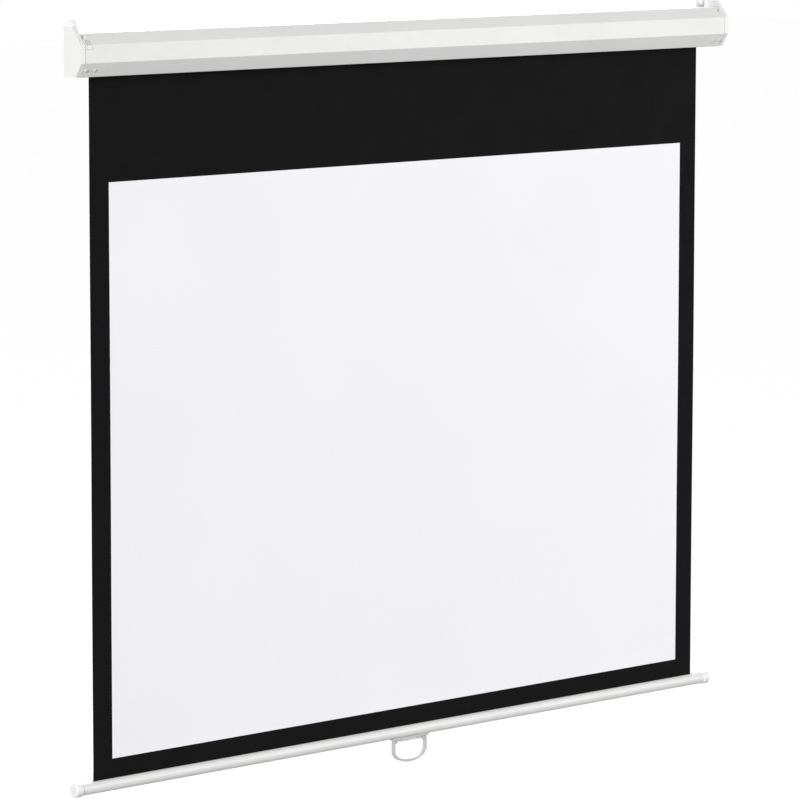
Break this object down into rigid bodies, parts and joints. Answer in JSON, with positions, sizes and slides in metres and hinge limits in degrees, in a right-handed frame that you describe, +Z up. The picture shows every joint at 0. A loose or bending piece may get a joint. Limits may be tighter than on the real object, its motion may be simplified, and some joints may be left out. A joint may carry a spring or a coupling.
{
  "type": "projection screen",
  "caption": "Wall-hung pull-down projection screen: bevelled steel case with a spring roller, black-bordered matt white cloth, round bottom bar and folding pull handle.",
  "frame": {"origin": "on the wall plane, midway along the screen and level with the roller's axis", "axes": "+X to the right as seen from the front, +Y into the wall, +Z up"},
  "size_m": [1.375, 0.0532, 1.2637],
  "materials": {
    "white_enamel": "white baked enamel on rolled steel, semi-gloss",
    "white_plastic": "white moulded ABS, fine satin",
    "light_grey_plastic": "light grey moulded ABS, satin",
    "zinc_steel": "bright zinc-plated steel",
    "spring_steel": "oiled spring steel",
    "grey_plastic": "grey moulded acetal",
    "nylon": "natural nylon",
    "black_cloth": "black coated glass-fibre screen cloth",
    "white_cloth": "matt white screen coating"
  },
  "bodies": {
    "case": {"case_shell": "white_enamel", "left_end_cap": "white_plastic", "right_end_cap": "white_plastic", "left_hanger": "zinc_steel", "right_hanger": "zinc_steel", "left_cap_screw_1": "white_enamel", "left_cap_screw_2": "white_enamel", "right_cap_screw_1": "white_enamel", "right_cap_screw_2": "white_enamel", "left_hanger_screw_1": "zinc_steel", "left_hanger_screw_2": "zinc_steel", "right_hanger_screw_1": "zinc_steel", "right_hanger_screw_2": "zinc_steel", "left_end_bracket": "zinc_steel", "right_end_bracket": "zinc_steel", "roller_spindle": "zinc_steel", "idle_pin": "zinc_steel", "lock_ratchet": "spring_steel", "torsion_spring": "spring_steel", "spring_anchor": "grey_plastic", "spindle_guide": "nylon", "black_backing": "black_cloth", "white_face": "white_cloth"},
    "roller": {"roller_tube": "zinc_steel", "cloth_wraps": "black_cloth", "spring_end_head": "grey_plastic", "pawl_retainer": "zinc_steel", "idle_end_plug": "grey_plastic", "idle_bush": "nylon"},
    "upper_pawl": {"lock_pawl_1": "spring_steel"},
    "lower_pawl": {"lock_pawl_2": "spring_steel"},
    "bar": {"bottom_bar": "white_enamel", "left_bar_cap": "white_plastic", "right_bar_cap": "white_plastic", "bottom_border_cloth": "black_cloth", "hem_rod": "nylon", "handle_bracket": "light_grey_plastic", "handle_pin": "zinc_steel", "left_handle_screw": "zinc_steel", "right_handle_screw": "zinc_steel"},
    "handle": {"pull_handle": "light_grey_plastic"}
  },
  "joints": [
    {"name": "screen_drop", "type": "slide", "parent": "case", "child": "bar", "axis": [0, 0, 1], "range_m": [0, 1.11], "deforming": ["black_backing", "white_face"]},
    {"name": "roller_spin", "type": "hinge", "parent": "case", "child": "roller", "pos_m": [0, -0.0285, 0], "axis": [1, 0, 0], "range_deg": [0, 3780]},
    {"name": "upper_pawl_swing", "type": "hinge", "parent": "roller", "child": "upper_pawl", "pos_m": [-0.6635, -0.0285, 0.0112], "axis": [1, 0, 0], "range_deg": [0, 12]},
    {"name": "lower_pawl_swing", "type": "hinge", "parent": "roller", "child": "lower_pawl", "pos_m": [-0.6635, -0.0285, -0.0112], "axis": [1, 0, 0], "range_deg": [0, 12]},
    {"name": "handle_swing", "type": "hinge", "parent": "bar", "child": "handle", "pos_m": [0, -0.0139, -1.1732], "axis": [1, 0, 0], "range_deg": [-90, 14]}
  ],
  "couplings": [
    {"joint": "roller_spin", "follows": "screen_drop", "rad_per_m": 59.435}
  ]
}
